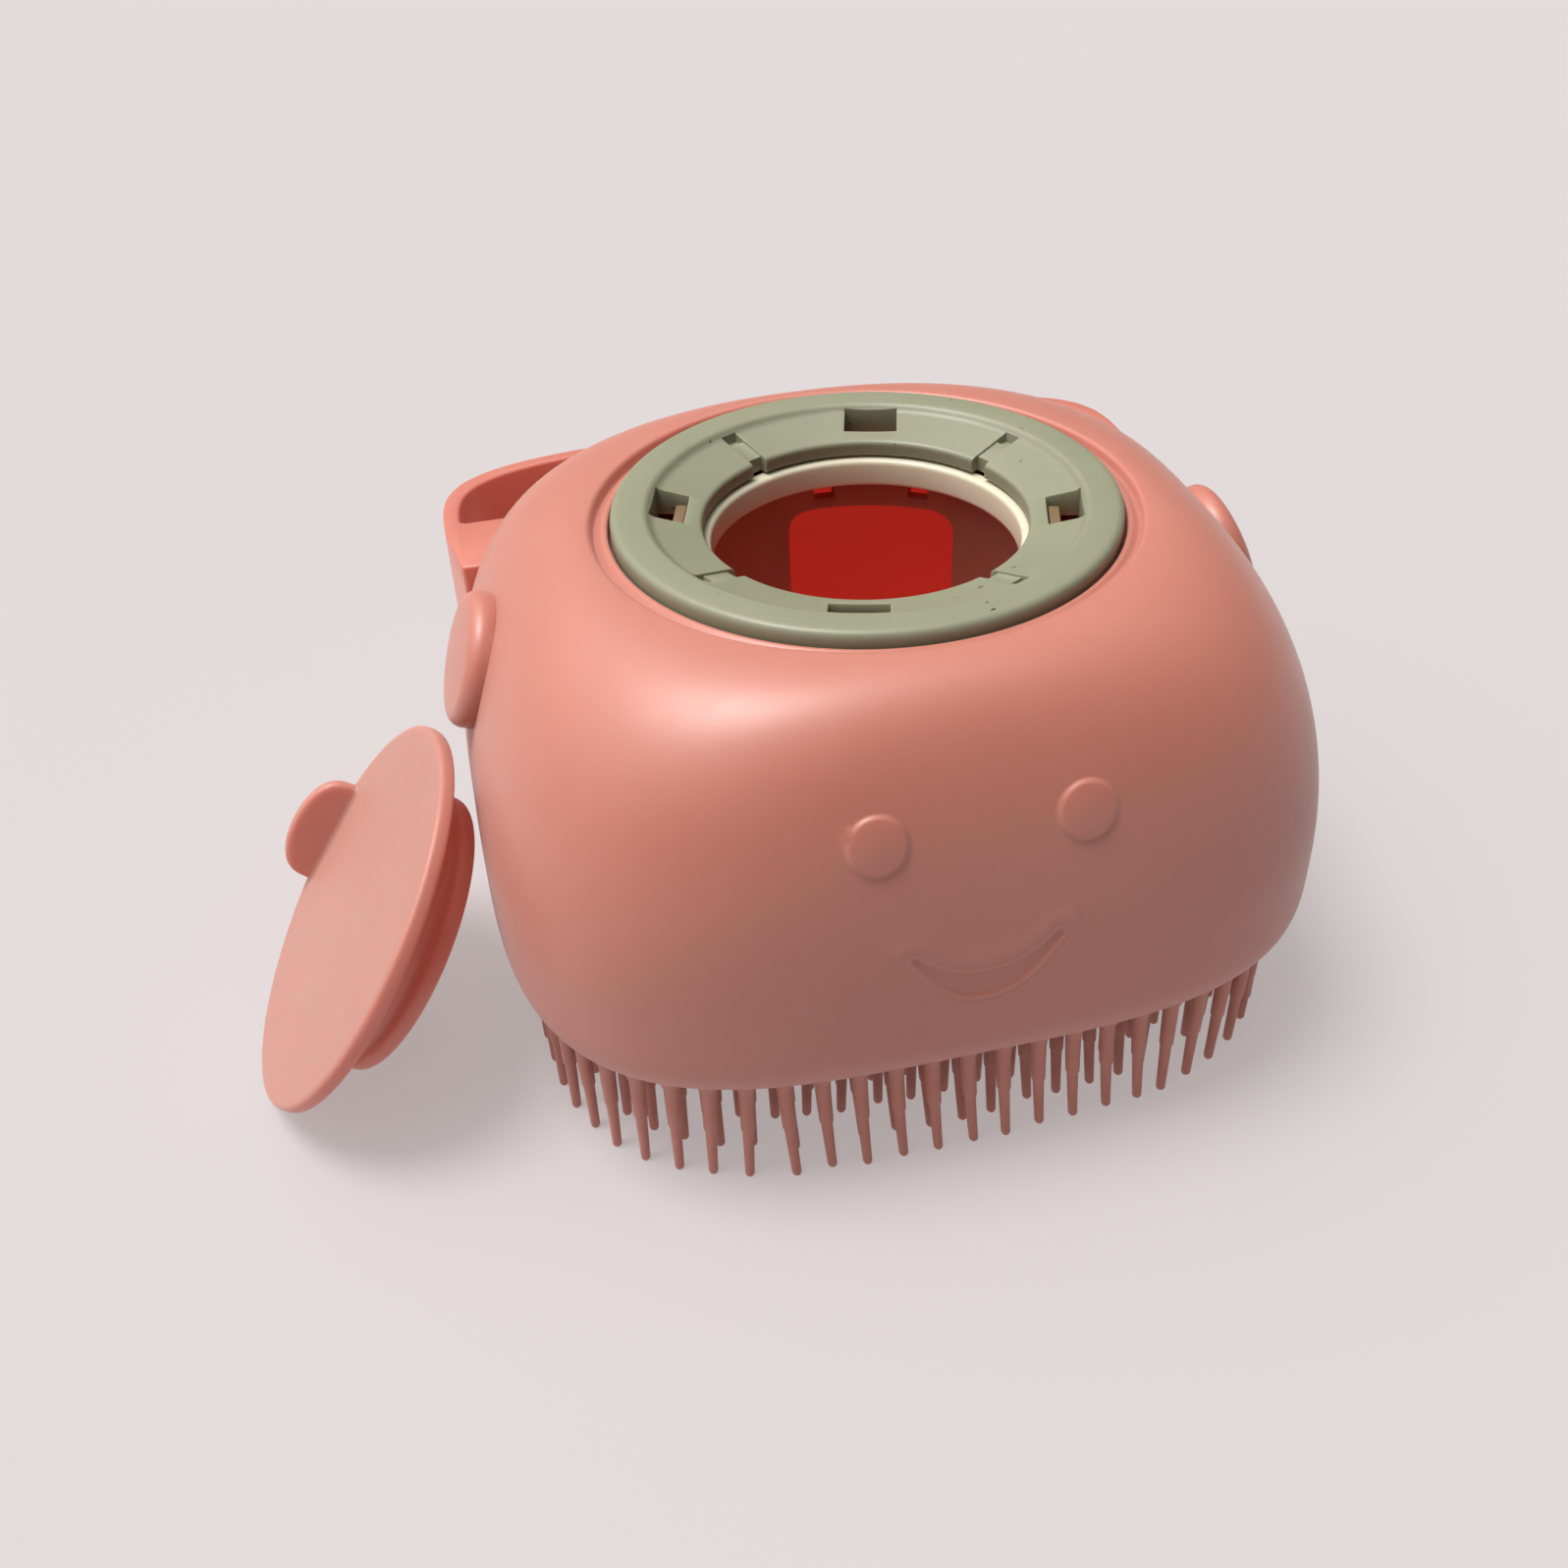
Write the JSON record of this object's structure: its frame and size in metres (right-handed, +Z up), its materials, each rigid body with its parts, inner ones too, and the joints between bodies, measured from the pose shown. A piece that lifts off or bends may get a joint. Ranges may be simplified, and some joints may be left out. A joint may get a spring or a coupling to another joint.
{
  "type": "scalp massager brush",
  "caption": "Squeezable silicone shampoo brush with rows of soft bristles, a filling mouth in a rigid ring, a rear strap and a loose plug lid.",
  "frame": {"origin": "flat tip of the central bristle, in the plane that all the bristle tips share and the brush stands on", "axes": "+Z up through the filling mouth, -Y out of the wall with the raised face, +X to the right of that wall"},
  "size_m": [0.1098, 0.0846, 0.0524],
  "materials": {
    "silicone": "satin",
    "lid_silicone": "matte",
    "ring_plastic": "satin",
    "clear_plastic": "satin"
  },
  "bodies": {
    "body": {"body_shell": "silicone", "bristle_pad": "silicone", "left_ear": "silicone", "right_ear": "silicone", "hanging_strap": "silicone"},
    "insert": {"clamp_ring": "clear_plastic", "inner_cage": "clear_plastic"},
    "ring": {"retaining_ring": "ring_plastic"},
    "lid": {"lid_cap": "lid_silicone", "pull_tab": "lid_silicone", "lid_plug": "lid_silicone"}
  },
  "joints": [
    {"name": "insert_turn", "type": "hinge", "parent": "body", "child": "insert", "pos_m": [0, 0, 0.045], "axis": [0, 0, 1], "continuous": true},
    {"name": "ring_lift", "type": "slide", "parent": "insert", "child": "ring", "axis": [0, 0, 1], "range_m": [0, 0.1188]},
    {"name": "lid_carry", "type": "hinge", "parent": "body", "child": "lid", "pos_m": [0.1247, -0.0167, 0.04056], "axis": [0.0726, 0.9957, -0.0574], "range_deg": [0, 53.9]}
  ]
}
